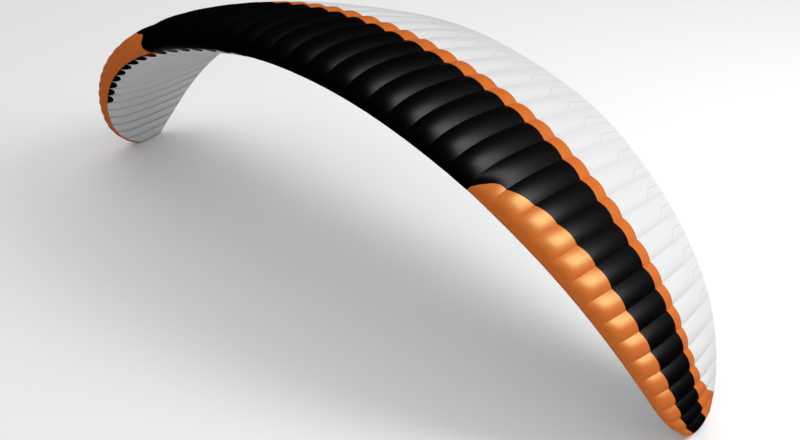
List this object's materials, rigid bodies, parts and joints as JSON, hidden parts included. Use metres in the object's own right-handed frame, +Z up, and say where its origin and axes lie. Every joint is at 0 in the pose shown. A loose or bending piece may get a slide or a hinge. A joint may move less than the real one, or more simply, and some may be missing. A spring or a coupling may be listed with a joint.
{
  "type": "paraglider wing",
  "caption": "Hollow ram-air wing of sewn cloth, arched from tip to tip, with air intakes under its nose; black, orange and white.",
  "frame": {"origin": "under the middle of the wing, on the level surface that its two tips stand on", "axes": "+X along the span, towards the pilot's left; +Y aft, from the nose to the trailing edge; +Z up"},
  "size_m": [9.0936, 2.8244, 3.1343],
  "materials": {
    "black_cloth": "thin coated ripstop cloth, black, with a satin sheen",
    "orange_cloth": "thin coated ripstop cloth, orange, with a satin sheen",
    "white_cloth": "thin coated ripstop cloth, white, slightly see-through, with a soft sheen",
    "rib_cloth": "stiff coated cloth, off-white"
  },
  "bodies": {
    "root": {"nose_orange_left": "orange_cloth", "nose_orange_right": "orange_cloth", "upper_black_left": "black_cloth", "upper_black_middle": "black_cloth", "upper_black_right": "black_cloth", "upper_orange_stripe": "orange_cloth", "upper_white_panel": "white_cloth", "lower_white_panel": "white_cloth", "rib_01": "rib_cloth", "rib_02": "rib_cloth", "rib_03": "rib_cloth", "rib_04": "rib_cloth", "rib_05": "rib_cloth", "rib_06": "rib_cloth", "rib_07": "rib_cloth", "rib_08": "rib_cloth", "rib_09": "rib_cloth", "rib_10": "rib_cloth", "rib_11": "rib_cloth", "rib_12": "rib_cloth", "rib_13": "rib_cloth", "rib_14": "rib_cloth", "rib_15": "rib_cloth", "rib_16": "rib_cloth", "rib_17": "rib_cloth", "rib_18": "rib_cloth", "rib_19": "rib_cloth", "rib_20": "rib_cloth", "rib_21": "rib_cloth", "rib_22": "rib_cloth", "rib_23": "rib_cloth", "rib_24": "rib_cloth", "rib_25": "rib_cloth", "rib_26": "rib_cloth", "rib_27": "rib_cloth", "rib_28": "rib_cloth", "rib_29": "rib_cloth", "rib_30": "rib_cloth", "rib_31": "rib_cloth", "rib_32": "rib_cloth", "rib_33": "rib_cloth", "rib_34": "rib_cloth", "rib_35": "rib_cloth", "rib_36": "rib_cloth", "rib_37": "rib_cloth", "rib_38": "rib_cloth", "rib_39": "rib_cloth", "rib_40": "rib_cloth", "rib_41": "rib_cloth", "rib_42": "rib_cloth", "rib_43": "rib_cloth", "rib_44": "rib_cloth", "rib_45": "rib_cloth", "rib_46": "rib_cloth", "rib_47": "rib_cloth", "rib_48": "rib_cloth", "tip_plate_left": "rib_cloth", "tip_plate_right": "rib_cloth"}
  },
  "joints": []
}
